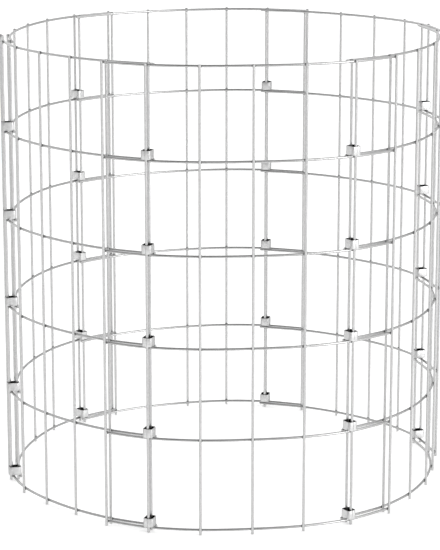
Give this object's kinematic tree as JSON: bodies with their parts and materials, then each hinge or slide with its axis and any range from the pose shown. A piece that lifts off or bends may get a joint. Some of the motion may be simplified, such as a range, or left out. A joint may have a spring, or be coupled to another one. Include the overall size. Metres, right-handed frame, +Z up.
{
  "type": "compost bin",
  "caption": "Round open-topped compost bin of curved galvanised mesh panels, lapped into a ring and held with sliding clips of folded strip.",
  "frame": {"origin": "middle of the ring's footprint, on the ground under the feet of the uprights", "axes": "+Z up along the ring's axis; the front of the picture faces -Y, and +X is to its right"},
  "size_m": [1.0118, 0.9986, 1.014],
  "materials": {
    "mesh_wire": "galvanised, satin",
    "clip_strip": "galvanised, satin"
  },
  "bodies": {
    "ring": {"panel_front": "mesh_wire", "panel_right": "mesh_wire", "panel_back_right": "mesh_wire", "panel_back": "mesh_wire", "panel_back_left": "mesh_wire", "panel_left": "mesh_wire"},
    "clip_front_left_1": {"clip_front_left_1": "clip_strip"},
    "clip_front_left_2": {"clip_front_left_2": "clip_strip"},
    "clip_front_left_3": {"clip_front_left_3": "clip_strip"},
    "clip_front_left_4": {"clip_front_left_4": "clip_strip"},
    "clip_front_left_5": {"clip_front_left_5": "clip_strip"},
    "clip_front_right_1": {"clip_front_right_1": "clip_strip"},
    "clip_front_right_2": {"clip_front_right_2": "clip_strip"},
    "clip_front_right_3": {"clip_front_right_3": "clip_strip"},
    "clip_front_right_4": {"clip_front_right_4": "clip_strip"},
    "clip_front_right_5": {"clip_front_right_5": "clip_strip"},
    "clip_right_1": {"clip_right_1": "clip_strip"},
    "clip_right_2": {"clip_right_2": "clip_strip"},
    "clip_right_3": {"clip_right_3": "clip_strip"},
    "clip_right_4": {"clip_right_4": "clip_strip"},
    "clip_right_5": {"clip_right_5": "clip_strip"},
    "clip_back_right_1": {"clip_back_right_1": "clip_strip"},
    "clip_back_right_2": {"clip_back_right_2": "clip_strip"},
    "clip_back_right_3": {"clip_back_right_3": "clip_strip"},
    "clip_back_right_4": {"clip_back_right_4": "clip_strip"},
    "clip_back_right_5": {"clip_back_right_5": "clip_strip"},
    "clip_back_left_1": {"clip_back_left_1": "clip_strip"},
    "clip_back_left_2": {"clip_back_left_2": "clip_strip"},
    "clip_back_left_3": {"clip_back_left_3": "clip_strip"},
    "clip_back_left_4": {"clip_back_left_4": "clip_strip"},
    "clip_back_left_5": {"clip_back_left_5": "clip_strip"},
    "clip_left_1": {"clip_left_1": "clip_strip"},
    "clip_left_2": {"clip_left_2": "clip_strip"},
    "clip_left_3": {"clip_left_3": "clip_strip"},
    "clip_left_4": {"clip_left_4": "clip_strip"},
    "clip_left_5": {"clip_left_5": "clip_strip"}
  },
  "joints": [
    {"name": "clip_front_left_1_slide", "type": "slide", "parent": "ring", "child": "clip_front_left_1", "axis": [0, 0, 1], "range_m": [0, 0.1744]},
    {"name": "clip_front_left_2_slide", "type": "slide", "parent": "ring", "child": "clip_front_left_2", "axis": [0, 0, 1], "range_m": [0, 0.1744]},
    {"name": "clip_front_left_3_slide", "type": "slide", "parent": "ring", "child": "clip_front_left_3", "axis": [0, 0, 1], "range_m": [0, 0.1744]},
    {"name": "clip_front_left_4_slide", "type": "slide", "parent": "ring", "child": "clip_front_left_4", "axis": [0, 0, 1], "range_m": [0, 0.1744]},
    {"name": "clip_front_left_5_slide", "type": "slide", "parent": "ring", "child": "clip_front_left_5", "axis": [0, 0, 1], "range_m": [0, 0.1744]},
    {"name": "clip_front_right_1_slide", "type": "slide", "parent": "ring", "child": "clip_front_right_1", "axis": [0, 0, 1], "range_m": [0, 0.1744]},
    {"name": "clip_front_right_2_slide", "type": "slide", "parent": "ring", "child": "clip_front_right_2", "axis": [0, 0, 1], "range_m": [0, 0.1744]},
    {"name": "clip_front_right_3_slide", "type": "slide", "parent": "ring", "child": "clip_front_right_3", "axis": [0, 0, 1], "range_m": [0, 0.1744]},
    {"name": "clip_front_right_4_slide", "type": "slide", "parent": "ring", "child": "clip_front_right_4", "axis": [0, 0, 1], "range_m": [0, 0.1744]},
    {"name": "clip_front_right_5_slide", "type": "slide", "parent": "ring", "child": "clip_front_right_5", "axis": [0, 0, 1], "range_m": [0, 0.1744]},
    {"name": "clip_right_1_slide", "type": "slide", "parent": "ring", "child": "clip_right_1", "axis": [0, 0, 1], "range_m": [0, 0.1744]},
    {"name": "clip_right_2_slide", "type": "slide", "parent": "ring", "child": "clip_right_2", "axis": [0, 0, 1], "range_m": [0, 0.1744]},
    {"name": "clip_right_3_slide", "type": "slide", "parent": "ring", "child": "clip_right_3", "axis": [0, 0, 1], "range_m": [0, 0.1744]},
    {"name": "clip_right_4_slide", "type": "slide", "parent": "ring", "child": "clip_right_4", "axis": [0, 0, 1], "range_m": [0, 0.1744]},
    {"name": "clip_right_5_slide", "type": "slide", "parent": "ring", "child": "clip_right_5", "axis": [0, 0, 1], "range_m": [0, 0.1744]},
    {"name": "clip_back_right_1_slide", "type": "slide", "parent": "ring", "child": "clip_back_right_1", "axis": [0, 0, 1], "range_m": [0, 0.1744]},
    {"name": "clip_back_right_2_slide", "type": "slide", "parent": "ring", "child": "clip_back_right_2", "axis": [0, 0, 1], "range_m": [0, 0.1744]},
    {"name": "clip_back_right_3_slide", "type": "slide", "parent": "ring", "child": "clip_back_right_3", "axis": [0, 0, 1], "range_m": [0, 0.1744]},
    {"name": "clip_back_right_4_slide", "type": "slide", "parent": "ring", "child": "clip_back_right_4", "axis": [0, 0, 1], "range_m": [0, 0.1744]},
    {"name": "clip_back_right_5_slide", "type": "slide", "parent": "ring", "child": "clip_back_right_5", "axis": [0, 0, 1], "range_m": [0, 0.1744]},
    {"name": "clip_back_left_1_slide", "type": "slide", "parent": "ring", "child": "clip_back_left_1", "axis": [0, 0, 1], "range_m": [0, 0.1744]},
    {"name": "clip_back_left_2_slide", "type": "slide", "parent": "ring", "child": "clip_back_left_2", "axis": [0, 0, 1], "range_m": [0, 0.1744]},
    {"name": "clip_back_left_3_slide", "type": "slide", "parent": "ring", "child": "clip_back_left_3", "axis": [0, 0, 1], "range_m": [0, 0.1744]},
    {"name": "clip_back_left_4_slide", "type": "slide", "parent": "ring", "child": "clip_back_left_4", "axis": [0, 0, 1], "range_m": [0, 0.1744]},
    {"name": "clip_back_left_5_slide", "type": "slide", "parent": "ring", "child": "clip_back_left_5", "axis": [0, 0, 1], "range_m": [0, 0.1744]},
    {"name": "clip_left_1_slide", "type": "slide", "parent": "ring", "child": "clip_left_1", "axis": [0, 0, 1], "range_m": [0, 0.1744]},
    {"name": "clip_left_2_slide", "type": "slide", "parent": "ring", "child": "clip_left_2", "axis": [0, 0, 1], "range_m": [0, 0.1744]},
    {"name": "clip_left_3_slide", "type": "slide", "parent": "ring", "child": "clip_left_3", "axis": [0, 0, 1], "range_m": [0, 0.1744]},
    {"name": "clip_left_4_slide", "type": "slide", "parent": "ring", "child": "clip_left_4", "axis": [0, 0, 1], "range_m": [0, 0.1744]},
    {"name": "clip_left_5_slide", "type": "slide", "parent": "ring", "child": "clip_left_5", "axis": [0, 0, 1], "range_m": [0, 0.1744]}
  ]
}
